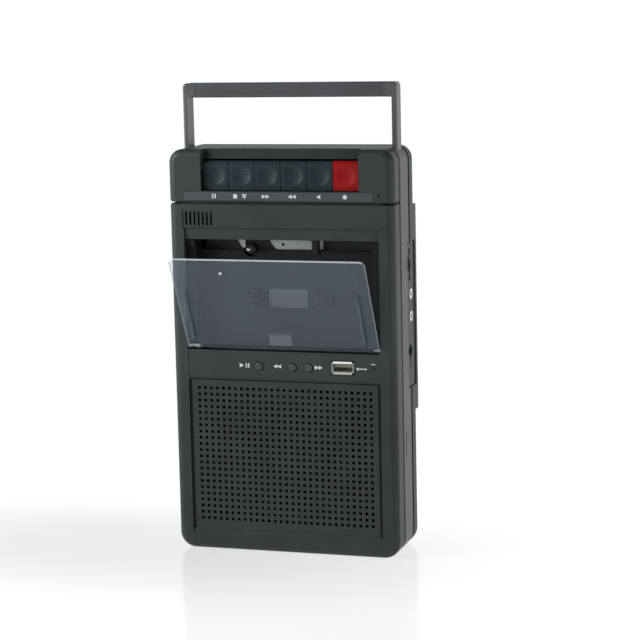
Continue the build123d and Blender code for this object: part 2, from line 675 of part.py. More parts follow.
with BuildPart() as deck_chassis:
    block((-52.0, 52.0), (CHASSIS_FRONT, CHASSIS_BACK), (119.0, 204.0))
    for side in (-1, 1):
        rod((side * REEL_X, -8.0, REEL_Z), (0, 1, 0), 2.0 + RUNNING, 5.0, Mode.SUBTRACT)
        for z in (124.0, 172.0):
            rod((side * 48.0, -8.0, z), (0, 1, 0), 1.3, 5.0, Mode.SUBTRACT)
        # pins that guide the head sled, and pins that the cassette rests on
        rod((side * 20.0, CHASSIS_FRONT, 197.0), (0, -1, 0), 1.5, 2.6)
        rod((side * 41.5, CHASSIS_FRONT, 163.0), (0, -1, 0), 1.4, 7.4)
    rod((CAPSTAN_X, -8.0, CAPSTAN_Z), (0, 1, 0), 2.6, 5.0, Mode.SUBTRACT)
    rod((ARM_PIVOT_X, CHASSIS_FRONT, ARM_PIVOT_Z), (0, -1, 0), 1.5, 4.6)
    # tab that the sled's spring hangs from
    block((SPRING_X - 1.8, SPRING_X + 1.8), (-10.2, CHASSIS_FRONT), (196.8, 198.0))
    # post of the idler wheel
    rod((IDLER_X, CHASSIS_BACK, IDLER_Z), (0, 1, 0), 1.5, 6.0)
    rod((IDLER_X, CHASSIS_BACK, IDLER_Z), (0, 1, 0), 2.6, 0.8)
write("deck_chassis", deck_chassis.part)

with BuildPart() as small_screws:
    # four hold the deck and four, with washers, the speaker
    for side in (-1, 1):
        for z in (124.0, 172.0):
            rod((side * 48.0, CHASSIS_BACK, z), (0, 1, 0), 2.3, 1.6)
            rod((side * 48.0, CHASSIS_BACK, z), (0, -1, 0), 1.2, 3.8)
        for z in (GRILLE_Z - 30.2, GRILLE_Z + 30.2):
            rod((side * 30.2, -19.4, z), (0, 1, 0), 4.8, 0.7)
            rod((side * 30.2, -19.4, z), (0, 1, 0), 2.0, 2.2)
            rod((side * 30.2, -19.4, z), (0, -1, 0), 1.0, 1.3)
write("small_screws", small_screws.part)

for name, side in (("takeup", -1), ("supply", 1)):
    with BuildPart() as spindle:
        turned(
            side * REEL_X,
            REEL_Z,
            [(-20.8, 0), (-20.8, 1.2), (-19.0, 2.6), (-12.4, 2.6), (-12.4, 5.4), (-8.0, 5.4),
             (-7.0, 4.0), (-6.6, 2.0), (-4.4, 2.0), (-4.4, 4.0), (-3.8, 4.0), (-3.8, TABLE_R),
             (-1.3, TABLE_R), (-1.3, 4.0), (0.6, 4.0), (0.6, 0)],
        )
        # six drive fins
        with BuildSketch(front_plane(-12.4)):
            with Locations((side * REEL_X, REEL_Z)):
                with PolarLocations(3.3, 6):
                    Rectangle(2.4, 1.0)
        extrude(amount=5.6)
    write(name + "_spindle", spindle.part)

with BuildPart() as capstan_bearing:
    turned(
        CAPSTAN_X,
        CAPSTAN_Z,
        [(-9.9, CAPSTAN_R + RUNNING), (-9.9, 2.2), (-9.4, 2.9), (CHASSIS_FRONT, 2.9),
         (CHASSIS_FRONT, 2.6), (CHASSIS_BACK, 2.6), (CHASSIS_BACK, CAPSTAN_R + RUNNING)],
    )
write("capstan_bearing", capstan_bearing.part)

with BuildPart() as capstan:
    turned(
        CAPSTAN_X,
        CAPSTAN_Z,
        [(-15.2, 0), (-15.2, 0.7), (-14.9, CAPSTAN_R), (-4.4, CAPSTAN_R), (-4.4, HUB_R),
         (-1.0, HUB_R), (-1.0, CAPSTAN_R), (20.4, CAPSTAN_R), (20.4, 0)],
    )
write("capstan", capstan.part)

with BuildPart() as flywheel:
    turned(
        CAPSTAN_X,
        CAPSTAN_Z,
        [(8.0, CAPSTAN_R), (8.0, 5.0), (14.6, 5.0), (14.6, FLYWHEEL_R + 0.9),
         (15.4, FLYWHEEL_R + 0.9), (15.9, FLYWHEEL_R), (18.1, FLYWHEEL_R),
         (18.6, FLYWHEEL_R + 0.9), (19.4, FLYWHEEL_R + 0.9), (19.4, 18.0), (17.2, 17.0),
         (17.2, 6.0), (19.4, 5.0), (19.4, CAPSTAN_R)],
    )
write("flywheel", flywheel.part)

with BuildPart() as flywheel_bracket:
    block((-50.0, 4.2), (21.2, 22.4), (175.0, 184.0))
    for xs in ((-50.0, -48.0), (2.2, 4.2)):
        block(xs, (CHASSIS_BACK, 22.4), (175.0, 184.0))
    rod((CAPSTAN_X, 21.2, CAPSTAN_Z), (0, -1, 0), 2.4, 0.7)
write("flywheel_bracket", flywheel_bracket.part)

with BuildPart() as motor:
    rod((MOTOR_X, CHASSIS_BACK, MOTOR_Z), (0, 1, 0), MOTOR_R, 18.0)
    fillet(motor.edges().sort_by(Axis.Y)[-1], 1.5)
    rod((MOTOR_X, 12.0, MOTOR_Z), (0, 1, 0), 3.0, 2.0)
    rod((MOTOR_X, 11.0, MOTOR_Z), (0, 1, 0), CAPSTAN_R + RUNNING, 4.0, Mode.SUBTRACT)
write("motor", motor.part)

with BuildPart() as motor_pulley:
    turned(
        MOTOR_X,
        MOTOR_Z,
        [(11.2, 0), (11.2, 1.0), (14.6, 1.0), (14.6, PULLEY_R + 0.9), (15.4, PULLEY_R + 0.9),
         (15.9, PULLEY_R), (18.1, PULLEY_R), (18.6, PULLEY_R + 0.9), (19.4, PULLEY_R + 0.9),
         (19.4, 0)],
    )
write("motor_pulley", motor_pulley.part)


def belt_outline(offset):
    """Loop round the flywheel and the pulley, standing off by an offset."""
    big = FLYWHEEL_R + offset
    small = PULLEY_R + offset
    span = math.hypot(MOTOR_X - CAPSTAN_X, MOTOR_Z - CAPSTAN_Z)
    lean = math.atan2(MOTOR_Z - CAPSTAN_Z, MOTOR_X - CAPSTAN_X)
    open_angle = math.acos((big - small) / span)
    corners = []
    for x, z, r in ((CAPSTAN_X, CAPSTAN_Z, big), (MOTOR_X, MOTOR_Z, small)):
        for sign in (1, -1):
            angle = lean + sign * open_angle
            corners.append((x + r * math.cos(angle), z + r * math.sin(angle)))
    far_left = (CAPSTAN_X - big * math.cos(lean), CAPSTAN_Z - big * math.sin(lean))
    far_right = (MOTOR_X + small * math.cos(lean), MOTOR_Z + small * math.sin(lean))
    with BuildSketch(front_plane(BELT_Y + 0.9)) as loop:
        with BuildLine():
            ThreePointArc(corners[0], far_left, corners[1])
            Line(corners[1], corners[3])
            ThreePointArc(corners[3], far_right, corners[2])
            Line(corners[2], corners[0])
        make_face()
    return loop.sketch


belt_outside = belt_outline(BELT_GAP + BELT_THICK)
belt_inside = belt_outline(BELT_GAP)
with BuildPart() as drive_belt:
    extrude(belt_outside, amount=1.8)
    extrude(belt_inside, amount=1.8, mode=Mode.SUBTRACT)
write("drive_belt", drive_belt.part)

with BuildPart() as idler_wheel:
    turned(
        IDLER_X,
        IDLER_Z,
        [(-4.0, 1.5 + RUNNING), (-4.0, 5.4), (-1.2, 5.4), (-1.2, 3.0), (0.2, 3.0),
         (0.2, 1.5 + RUNNING)],
    )
write("idler_wheel", idler_wheel.part)

with BuildPart() as idler_tyre:
    turned(IDLER_X, IDLER_Z, [(-3.6, 5.4), (-3.6, TYRE_R), (-1.6, TYRE_R), (-1.6, 5.4)])
write("idler_tyre", idler_tyre.part)

with BuildPart() as head_sled:
    prism(
        front_plane(SLED_BACK),
        [(-31.6, 188.0), (-31.6, 184.6), (-28.6, 179.4), (-26.6, 179.4), (-26.6, 188.0),
         (-11.0, 188.0), (-11.0, 182.6), (-7.4, 178.6), (14.2, 178.6), (14.2, 184.0),
         (19.0, 184.0), (19.0, 179.0), (21.0, 179.0), (21.0, 188.0), (34.4, 188.0), (34.4, 189.6),
         (30.0, 189.6), (30.0, SLED_TOP), (-30.0, SLED_TOP)],
        SLED_BACK - SLED_FRONT,
    )
    for side in (-1, 1):
        with BuildSketch(front_plane(SLED_BACK + 1)):
            with Locations((side * 20.0, 199.0)):
                SlotOverall(8.2, 3.6, rotation=90)
        extrude(amount=4.0, mode=Mode.SUBTRACT)
    rod((-3.4, -6.0, 181.4), (0, -1, 0), 0.9, 3.0, Mode.SUBTRACT)
    block((5.2, 9.0), (-9.0, -6.0), (184.0, 186.2), Mode.SUBTRACT)
write("head_sled", head_sled.part)

with BuildPart() as record_play_head:
    block((-6.0, 6.0), (-17.4, -10.4), (185.6, 195.0))
    fillet(record_play_head.edges().filter_by(Axis.Y).group_by(Axis.Z)[0], 2.4)
    block((-10.0, 10.0), (-10.4, SLED_FRONT), (188.4, 193.6))
    for x in (-7.4, 6.6):
        block((x, x + 0.8), (-15.8, -10.4), (184.6, 192.0))
write("record_play_head", record_play_head.part)

with BuildPart() as erase_head:
    block((15.4, 18.4), (-15.4, SLED_FRONT), (184.6, 193.4))
    block((15.4, 18.4), (-11.4, -9.9), (176.4, 186.0))
write("erase_head", erase_head.part)

with BuildPart() as pinch_arm:
    with BuildSketch(front_plane(-8.5)):
        with Locations((ARM_PIVOT_X, ARM_PIVOT_Z)):
            Circle(3.4)
        with Locations(((ARM_PIVOT_X + ROLLER_X) / 2, ARM_PIVOT_Z)):
            Rectangle(ARM_REACH, 5.0)
        with Locations((ROLLER_X, ARM_PIVOT_Z)):
            Circle(3.0)
        with Locations((ARM_PIVOT_X, ARM_PIVOT_Z)):
            Circle(1.5 + RUNNING, mode=Mode.SUBTRACT)
    extrude(amount=1.0)
    rod((ROLLER_X, -9.5, ARM_PIVOT_Z), (0, -1, 0), 1.0, 8.4)
write("pinch_arm", pinch_arm.part)

with BuildPart() as pinch_roller:
    turned(
        ROLLER_X,
        ARM_PIVOT_Z,
        [(-17.0, 1.0 + RUNNING), (-17.0, 2.6), (-16.4, 2.6), (-16.4, ROLLER_R), (-10.6, ROLLER_R),
         (-10.6, 2.6), (-10.0, 2.6), (-10.0, 1.0 + RUNNING)],
    )
write("pinch_roller", pinch_roller.part)

write(
    "sled_spring",
    spring_coil((SPRING_X, -8.2, 190.1), (0, 0, 1), 1.4, 0.25, 1.0, 6.0),
)

# ================================================================ handle
with BuildPart() as handle_frame:
    for side in (-1, 1):
        block(sorted((side * ARM_IN, side * ARM_OUT)), (ARM_FRONT, ARM_BACK), (FOOT_Z, BAR_HIGH))
        block(sorted((side * GRIP_HALF, side * ARM_OUT)), (ARM_FRONT, ARM_BACK), (BAR_LOW, BAR_HIGH))
        rod((side * ARM_IN, 2.05, PEG_Z), (-side, 0, 0), 1.5, 2.6)
    block((-GRIP_HALF, GRIP_HALF), (-0.4, 4.5), (268.6, 273.3))
    corners = handle_frame.edges().filter_by(Axis.Y).group_by(Axis.Z)[-1]
    fillet(corners.filter_by(lambda edge: abs(edge.center().X) > GRIP_HALF + 1), 2.6)
    outer_edges = handle_frame.edges().filter_by(Axis.Z)
    fillet(outer_edges.filter_by(lambda edge: abs(edge.center().X) > ARM_OUT - 0.1), 1.3)
write("handle_frame", handle_frame.part)

with BuildPart() as handle_grip:
    block((-GRIP_HALF, GRIP_HALF), (ARM_FRONT, ARM_BACK), (BAR_LOW, BAR_HIGH))
    fillet(handle_grip.edges().filter_by(Axis.X), 1.6)
    block((-GRIP_HALF - 1, GRIP_HALF + 1), (-0.4, 4.5), (268.6, 273.3), Mode.SUBTRACT)
    # lengthwise grooves along the front and the back
    for ys in ((ARM_FRONT - 1, ARM_FRONT + 0.45), (ARM_BACK - 0.45, ARM_BACK + 1)):
        for row in range(4):
            z = BAR_LOW + 2.0 + row * 1.5
            block((-GRIP_HALF + 2, GRIP_HALF - 2), ys, (z - 0.3, z + 0.3), Mode.SUBTRACT)
write("handle_grip", handle_grip.part)


# ================================================================ controls on the front strip
for button_name, x in BUTTON_PLACES.items():
    with BuildPart() as button:
        rod((x, FRONT_Y - 0.5, BUTTON_Z), (0, 1, 0), BUTTON_R, 4.6)
        fillet(button.edges().sort_by(Axis.Y)[0], 0.5)
        rod((x, -20.0, BUTTON_Z), (0, 1, 0), 3.5, 0.9)
        rod((x, -20.0, BUTTON_Z), (0, 1, 0), 1.2, 1.7)
    write("button_" + button_name, button.part)

with BuildPart() as button_board:
    block((-24.0, 56.4), (-13.6, -12.4), (104.6, 117.0))
    # the switches soldered to it
    for x in BUTTON_PLACES.values():
        block((x - 3.0, x + 3.0), (-16.4, -13.6), (BUTTON_Z - 3.0, BUTTON_Z + 3.0))
        rod((x, -16.4, BUTTON_Z), (0, -1, 0), 1.6, 0.9)
write("button_board", button_board.part)

with BuildPart() as usb_socket:
    block((USB_X - 6.55, USB_X + 6.55), (-24.1, -13.6), (USB_Z - 2.85, USB_Z + 2.85))
    block((USB_X - 6.2, USB_X + 6.2), (-25.0, -14.0), (USB_Z - 2.5, USB_Z + 2.5), Mode.SUBTRACT)
    for side in (-1, 1):
        z = USB_Z + side * 2.5
        prism(
            Plane.YZ.offset(USB_X - 5.6),
            [(-24.1, z), (-24.1, z + side * 0.35), (-24.5, z + side * 1.3), (-24.7, z + side * 1.2),
             (-24.4, z)],
            11.2,
        )
write("usb_socket", usb_socket.part)

with BuildPart() as usb_tongue:
    block((USB_X - 5.6, USB_X + 5.6), (-22.6, -15.0), (USB_Z + 0.2, USB_Z + 2.0))
    block((USB_X - 6.1, USB_X + 6.1), (-17.0, -14.1), (USB_Z - 2.4, USB_Z + 2.4))
write("usb_tongue", usb_tongue.part)

with BuildPart() as power_led:
    rod((LED_X, FRONT_Y + 0.1, LED_Z), (0, 1, 0), 1.0, 5.0)
    rod((LED_X, -19.0, LED_Z), (0, 1, 0), 1.5, 5.4)
write("power_led", power_led.part)

# ================================================================ speaker
with BuildPart() as speaker_frame:
    turned(
        0,
        GRILLE_Z,
        [(-20.7, 34.5), (-20.7, SPEAKER_R), (-19.4, SPEAKER_R), (-19.4, 36.0), (-8.0, 20.0),
         (-6.4, 20.0), (-6.4, 8.0), (-7.6, 8.0), (-7.6, 18.6), (-8.8, 18.6), (-19.0, 34.5)],
    )
    with BuildSketch(front_plane(-5.0)):
        with Locations((0, GRILLE_Z)):
            with PolarLocations(27.0, 6):
                Rectangle(11.0, 12.0)
    extrude(amount=13.6, mode=Mode.SUBTRACT)
write("speaker_frame", speaker_frame.part)

with BuildPart() as speaker_cone:
    turned(
        0,
        GRILLE_Z,
        [(-20.6, 34.2), (-20.6, 31.0), (-20.0, 29.6), (-12.6, 10.0), (-14.8, 7.0), (-16.0, 0),
         (-15.4, 0), (-14.2, 7.0), (-11.4, 9.0), (-7.9, 8.0), (-7.9, 8.8), (-11.6, 10.4),
         (-19.2, 30.4), (-20.1, 31.4), (-20.1, 34.2)],
    )
write("speaker_cone", speaker_cone.part)

with BuildPart() as speaker_magnet:
    turned(
        0,
        GRILLE_Z,
        [(-6.3, 8.2), (-6.3, 19.0), (-4.6, 19.0), (-4.6, 17.6), (1.0, 17.6), (1.0, 19.0),
         (2.4, 19.0), (2.4, 0), (-9.0, 0), (-9.0, 6.6), (1.0, 6.6), (1.0, 8.2)],
    )
write("speaker_magnet", speaker_magnet.part)

# ================================================================ electronics and batteries
with BuildPart() as main_board:
    block((40.5, 62.8), (BOARD_FRONT, BOARD_BACK), (112.0, 184.0))
    block((-48.0, 54.0), (BOARD_FRONT, BOARD_BACK), (112.0, 147.0))
write("main_board", main_board.part)

with BuildPart() as board_parts:
    for x, z, r, tall in (
        (-38.0, 122.0, 4.0, 9.0), (-26.0, 122.0, 4.0, 9.0), (-38.0, 136.0, 3.2, 8.0),
        (20.0, 140.0, 3.2, 8.0), (48.0, 176.0, 4.0, 9.0), (30.0, 120.0, 5.0, 10.0),
    ):
        rod((x, BOARD_BACK, z), (0, 1, 0), r, tall)
    for x, z, wide, high in (
        (-8.0, 130.0, 20.0, 8.0), (8.0, 118.0, 10.0, 6.0), (50.0, 160.0, 8.0, 10.0),
    ):
        block(
            (x - wide / 2, x + wide / 2),
            (BOARD_BACK, BOARD_BACK + 2.4),
            (z - high / 2, z + high / 2),
        )
    # volume control behind its wheel
    block((VOLUME_X - 6, VOLUME_X + 6), (10.4, BOARD_FRONT), (VOLUME_Z - 6, VOLUME_Z + 6))
    rod((VOLUME_X, 10.4, VOLUME_Z), (0, -1, 0), 2.0, 3.2)
write("board_parts", board_parts.part)

with BuildPart() as microphone:
    rod((58.0, INNER_FRONT + 0.2, 213.6), (0, 1, 0), 4.0, 5.4)
write("microphone", microphone.part)

BATTERY_PITCH = 15.2
with BuildPart() as battery_contacts:
    for index in range(4):
        x = (index - 1.5) * BATTERY_PITCH
        block((x - 5.0, x + 5.0), (9.0, 18.6), (BAY_LOW, BAY_LOW + 0.4))
        block((x - 5.0, x + 5.0), (9.0, 18.6), (BAY_HIGH - 0.4, BAY_HIGH))
        rod((x, 13.8, BAY_HIGH - 0.4), (0, 0, -1), 2.4, 0.8)
        add(spring_coil((x, 13.8, BAY_LOW + 0.6), (0, 0, 1), 3.2, 0.35, 1.6, 4.0))
write("battery_contacts", battery_contacts.part)
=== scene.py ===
import json
import math

import bpy
from mathutils import Matrix, Vector


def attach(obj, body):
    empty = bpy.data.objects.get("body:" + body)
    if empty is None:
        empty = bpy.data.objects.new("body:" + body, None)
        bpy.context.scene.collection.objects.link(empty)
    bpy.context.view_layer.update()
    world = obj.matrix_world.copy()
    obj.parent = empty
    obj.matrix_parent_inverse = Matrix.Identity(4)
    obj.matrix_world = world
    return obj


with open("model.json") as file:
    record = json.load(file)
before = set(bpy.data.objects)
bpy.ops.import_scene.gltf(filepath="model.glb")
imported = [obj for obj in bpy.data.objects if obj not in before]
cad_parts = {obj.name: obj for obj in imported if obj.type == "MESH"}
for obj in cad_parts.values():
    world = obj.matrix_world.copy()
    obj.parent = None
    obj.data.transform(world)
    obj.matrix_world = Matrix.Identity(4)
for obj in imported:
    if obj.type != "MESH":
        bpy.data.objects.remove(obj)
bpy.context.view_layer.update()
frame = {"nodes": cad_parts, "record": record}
nodes = frame["nodes"]

# the frame's lengths are metres; printed shapes are laid out in millimetres
MM = 0.001
ACROSS = Vector((1, 0, 0))
INWARD = Vector((0, 1, 0))
UPWARD = Vector((0, 0, 1))

# the front face of the case, in millimetres
FRONT = -24.0

# the lid stands open by this angle on the axis of its pins
LID_TILT = math.radians(28)
LID_AXIS = Vector((0, -0.022, 0.1229))
LID_UP = Vector((0, -math.sin(LID_TILT), math.cos(LID_TILT)))
LID_OUT = Vector((0, -math.cos(LID_TILT), -math.sin(LID_TILT)))


# ---------------------------------------------------------------- node helpers
def new_material(name):
    material = bpy.data.materials.new(name)
    material.use_nodes = True
    tree = material.node_tree
    tree.nodes.clear()
    output = tree.nodes.new("ShaderNodeOutputMaterial")
    shader = tree.nodes.new("ShaderNodeBsdfPrincipled")
    tree.links.new(shader.outputs[0], output.inputs[0])
    return material, tree, shader


def object_place(tree):
    """Where a point is, in its own piece's space."""
    return tree.nodes.new("ShaderNodeTexCoord").outputs["Object"]


def noise(tree, scale, detail=3.0, stretch=(1, 1, 1)):
    mapping = tree.nodes.new("ShaderNodeMapping")
    mapping.inputs["Scale"].default_value = stretch
    tree.links.new(object_place(tree), mapping.inputs[0])
    texture = tree.nodes.new("ShaderNodeTexNoise")
    texture.inputs["Scale"].default_value = scale
    texture.inputs["Detail"].default_value = detail
    tree.links.new(mapping.outputs[0], texture.inputs["Vector"])
    return texture.outputs[0]


def ranged(tree, source, start, end, low, high, smooth=False):
    """Goes from low to high while the source goes from start to end."""
    ramp = tree.nodes.new("ShaderNodeMapRange")
    if smooth:
        ramp.interpolation_type = "SMOOTHSTEP"
    ramp.inputs["From Min"].default_value = start
    ramp.inputs["From Max"].default_value = end
    ramp.inputs["To Min"].default_value = low
    ramp.inputs["To Max"].default_value = high
    tree.links.new(source, ramp.inputs[0])
    return ramp.outputs[0]


def spread(tree, source, low, high):
    """Stretches the middle of a noise over low to high."""
    return ranged(tree, source, 0.3, 0.7, low, high)


def tinted(tree, source, color, depth):
    mix = tree.nodes.new("ShaderNodeMix")
    mix.data_type = "RGBA"
    mix.inputs["A"].default_value = (*[c * (1 - depth) for c in color], 1)
    mix.inputs["B"].default_value = (*[min(1, c * (1 + depth)) for c in color], 1)
    tree.links.new(source, mix.inputs["Factor"])
    return mix.outputs["Result"]


def along(tree, source, direction, origin=Vector((0, 0, 0))):
    """Distance of a point, or share of a normal, along a direction."""
    dot = tree.nodes.new("ShaderNodeVectorMath")
    dot.operation = "DOT_PRODUCT"
    tree.links.new(source, dot.inputs[0])
    dot.inputs[1].default_value = direction
    return math_node(tree, "SUBTRACT", dot.outputs["Value"], origin.dot(direction))


def math_node(tree, operation, first, second=None):
    node = tree.nodes.new("ShaderNodeMath")
    node.operation = operation
    for socket, value in zip(node.inputs, (first, second)):
        if isinstance(value, (int, float)):
            socket.default_value = value
        elif value is not None:
            tree.links.new(value, socket)
    return node.outputs[0]


def above(tree, value, bound):
    return math_node(tree, "GREATER_THAN", value, bound)


def below(tree, value, bound):
    return math_node(tree, "LESS_THAN", value, bound)


def product(tree, first, *others):
    for other in others:
        first = math_node(tree, "MULTIPLY", first, other)
    return first


def simple_shader(tree, kind, color):
    """A diffuse, glossy, transparent or emission shader of one colour."""
    shader = tree.nodes.new(kind)
    shader.inputs["Color"].default_value = (*color, 1)
    return shader


def blend_shaders(tree, share, first, second):
    mix = tree.nodes.new("ShaderNodeMixShader")
    if isinstance(share, (int, float)):
        mix.inputs[0].default_value = share
    else:
        tree.links.new(share, mix.inputs[0])
    tree.links.new(first, mix.inputs[1])
    tree.links.new(second, mix.inputs[2])
    return mix.outputs[0]


def add_shaders(tree, first, second):
    both = tree.nodes.new("ShaderNodeAddShader")
    tree.links.new(first, both.inputs[0])
    tree.links.new(second, both.inputs[1])
    return both.outputs[0]


# ---------------------------------------------------------------- materials
def surface(
    name, color, rough, grain=1800.0, bump=0.15, depth=0.12, metal=0.0, stretch=(1, 1, 1), ior=1.5
):
    """A plastic, rubber or metal finish with a fine grain, uneven gloss and a slight tone change."""
    broad_scale = 60.0
    gloss_spread = 0.12
    grain_height = 0.00005
    material, tree, shader = new_material(name)
    fine = noise(tree, grain, 2.0, stretch)
    broad = noise(tree, broad_scale, 4.0)
    tree.links.new(
        tinted(tree, spread(tree, broad, 0, 1), color, depth), shader.inputs["Base Color"]
    )
    glossiest = rough * (1 - gloss_spread)
    dullest = min(1.0, rough * (1 + gloss_spread))
    tree.links.new(spread(tree, fine, glossiest, dullest), shader.inputs["Roughness"])
    shader.inputs["Metallic"].default_value = metal
    shader.inputs["IOR"].default_value = ior
    if bump > 0:
        relief = tree.nodes.new("ShaderNodeBump")
        relief.inputs["Strength"].default_value = bump
        relief.inputs["Distance"].default_value = grain_height
        tree.links.new(fine, relief.inputs["Height"])
        tree.links.new(relief.outputs[0], shader.inputs["Normal"])
    return material


def glass_share(tree, straight_on, edge_on):
    """How much a clear sheet mirrors: little when faced, more when seen along its surface."""
    facing = tree.nodes.new("ShaderNodeLayerWeight")
    facing.inputs["Blend"].default_value = 0.5
    steep = math_node(tree, "POWER", facing.outputs["Facing"], 4.0)
    return ranged(tree, steep, 0, 1, straight_on, edge_on)


def lid_acrylic(name):
    """Clear, lightly smoked acrylic: mirror sheen on its faces, cut edges with a painted highlight,
    clear webs.
    """
    rim_height = 0.0617
    rim_across = 0.0579
    side_facing = 0.75
    back_of_sheet = -0.0002
    side_highlight_share = 0.3
    top_highlight_share = 0.45
    scatter_share = 0.02
    material, tree, shader = new_material(name)
    output = tree.nodes["Material Output"]
    tree.nodes.remove(shader)
    place = tree.nodes.new("ShaderNodeTexCoord")
    height = along(tree, place.outputs["Object"], LID_UP, LID_AXIS)
    depth = along(tree, place.outputs["Object"], LID_OUT, LID_AXIS)
    sideways = math_node(tree, "ABSOLUTE", along(tree, place.outputs["Object"], ACROSS))
    facing = math_node(tree, "ABSOLUTE", along(tree, place.outputs["Normal"], LID_OUT))

    # painted highlight: the cut edges along the rim are given a pale colour and a faint emission, the
    # top one most
    top = above(tree, height, rim_height)
    rim = math_node(tree, "MAXIMUM", top, above(tree, sideways, rim_across))
    edge_highlight_share = product(tree, rim, below(tree, facing, side_facing))
    top_share = product(tree, top, top_highlight_share)
    edge_highlight_share = product(tree, edge_highlight_share, math_node(tree, "ADD", top_share, side_highlight_share))

    haze = noise(tree, 28.0, 3.0)
    clear = tree.nodes.new("ShaderNodeBsdfTransparent")
    smoke = tinted(tree, spread(tree, haze, 0, 1), (0.90, 0.91, 0.93), 0.02)
    tree.links.new(smoke, clear.inputs[0])
    body = simple_shader(tree, "ShaderNodeBsdfDiffuse", (0.42, 0.44, 0.56))
    glossy = simple_shader(tree, "ShaderNodeBsdfGlossy", (0.74, 0.84, 1.0))
    tree.links.new(spread(tree, haze, 0.05, 0.08), glossy.inputs["Roughness"])
    sheet = blend_shaders(tree, scatter_share, clear.outputs[0], body.outputs[0])
    sheet = blend_shaders(tree, glass_share(tree, 0.047, 0.75), sheet, glossy.outputs[0])

    # painted highlight: a pale diffuse colour plus a faint emission make the cut edges look lit
    cut = simple_shader(tree, "ShaderNodeBsdfDiffuse", (0.75, 0.78, 0.82))
    painted_edge_glow = simple_shader(tree, "ShaderNodeEmission", (0.9, 0.93, 1.0))
    painted_edge_glow.inputs["Strength"].default_value = 0.08
    bright = add_shaders(tree, cut.outputs[0], painted_edge_glow.outputs[0])
    sheet = blend_shaders(tree, edge_highlight_share, sheet, bright)

    # the webs behind the sheet are clearer than the sheet
    thin = simple_shader(tree, "ShaderNodeBsdfTransparent", (0.97, 0.97, 0.98))
    faint = blend_shaders(tree, glass_share(tree, 0.015, 0.15), thin.outputs[0], glossy.outputs[0])
    web = below(tree, depth, back_of_sheet)
    tree.links.new(blend_shaders(tree, web, sheet, faint), output.inputs[0])
    return material


# slot: colour, roughness, grain scale, grain strength, and what else differs from surface()'s own
FINISHES = {
    "case_plastic": ((0.0365, 0.045, 0.0455), 0.46, 2600, 0.25, {"ior": 1.3}),
    "band_plastic": ((0.088, 0.085, 0.081), 0.46, 2600, 0.3, {"ior": 1.38}),
    "legend_bar": ((0.058, 0.068, 0.074), 0.34, 1500, 0.05, {}),
    "key_plastic": ((0.012, 0.022, 0.028), 0.42, 1500, 0.05, {"ior": 1.38}),
    "record_key_red": ((0.285, 0.0028, 0.0036), 0.42, 1500, 0.05, {"ior": 1.3}),
    "clear_tab": ((0.12, 0.122, 0.12), 0.3, 1200, 0.05, {}),
    "handle_plastic": ((0.082, 0.084, 0.085), 0.36, 2200, 0.12, {}),
    "grip_plastic": ((0.074, 0.080, 0.086), 0.40, 2200, 0.2, {}),
    "deck_black": ((0.006, 0.0065, 0.007), 0.5, 1500, 0.1, {}),
    "zinc_steel": ((0.50, 0.53, 0.52), 0.42, 500, 0.1, {"metal": 0.75}),
    "spindle_plastic": ((0.006, 0.007, 0.008), 0.5, 1500, 0.05, {}),
    "bright_chrome": ((0.86, 0.87, 0.86), 0.16, 900, 0.0, {"depth": 0.03, "metal": 0.65}),
    "flywheel_metal": ((0.34, 0.33, 0.32), 0.42, 900, 0.1, {"metal": 0.9}),
    "motor_steel": ((0.55, 0.55, 0.55), 0.34, 700, 0.1, {"metal": 1.0, "stretch": (1, 30, 1)}),
    "pulley_brass": ((0.72, 0.55, 0.25), 0.28, 900, 0.05, {"metal": 1.0}),
    "black_rubber": ((0.012, 0.012, 0.012), 0.6, 1800, 0.2, {}),
    "bearing_black": ((0.007, 0.007, 0.007), 0.4, 1500, 0.05, {}),
    "spring_steel": ((0.45, 0.46, 0.46), 0.35, 900, 0.05, {"metal": 1.0}),
    "screw_steel": ((0.20, 0.20, 0.21), 0.4, 900, 0.08, {"metal": 0.9}),
    "circuit_green": ((0.02, 0.11, 0.035), 0.35, 900, 0.1, {"depth": 0.2}),
    "component_black": ((0.02, 0.02, 0.023), 0.4, 1200, 0.08, {}),
    "jack_plastic": ((0.008, 0.008, 0.009), 0.4, 1200, 0.08, {}),
    "speaker_paper": ((0.09, 0.095, 0.10), 0.85, 2500, 0.4, {}),
    "speaker_steel": ((0.16, 0.16, 0.16), 0.5, 900, 0.1, {"metal": 0.7}),
    "magnet_ferrite": ((0.07, 0.07, 0.07), 0.6, 700, 0.3, {}),
    "led_lens": ((0.02, 0.012, 0.012), 0.2, 900, 0.0, {}),
    "button_grey": ((0.045, 0.052, 0.055), 0.38, 1800, 0.08, {}),
    "contact_nickel": ((0.6, 0.6, 0.57), 0.3, 900, 0.05, {"metal": 1.0}),
    "tongue_plastic": ((0.16, 0.18, 0.13), 0.45, 1200, 0.08, {}),
}
finishes = {name: surface(name, *row[:-1], **row[-1]) for name, row in FINISHES.items()}
finishes["lid_smoke"] = lid_acrylic("lid_smoke")
for row in frame["record"]["subparts"]:
    slots = nodes[row["node"]].data.materials
    slots.clear()
    slots.append(finishes[row["material_slot"]])


def rib_finger_faces(material):
    """Fine moulded ribs across a key."""
    tree = material.node_tree
    waves = tree.nodes.new("ShaderNodeTexWave")
    waves.bands_direction = "Z"
    waves.inputs["Scale"].default_value = 210.0
    tree.links.new(object_place(tree), waves.inputs["Vector"])
    ribs = tree.nodes.new("ShaderNodeBump")
    ribs.inputs["Strength"].default_value = 0.5
    ribs.inputs["Distance"].default_value = 0.00012
    tree.links.new(waves.outputs[1], ribs.inputs["Height"])
    tree.links.new(ribs.outputs[0], tree.nodes["Principled BSDF"].inputs["Normal"])


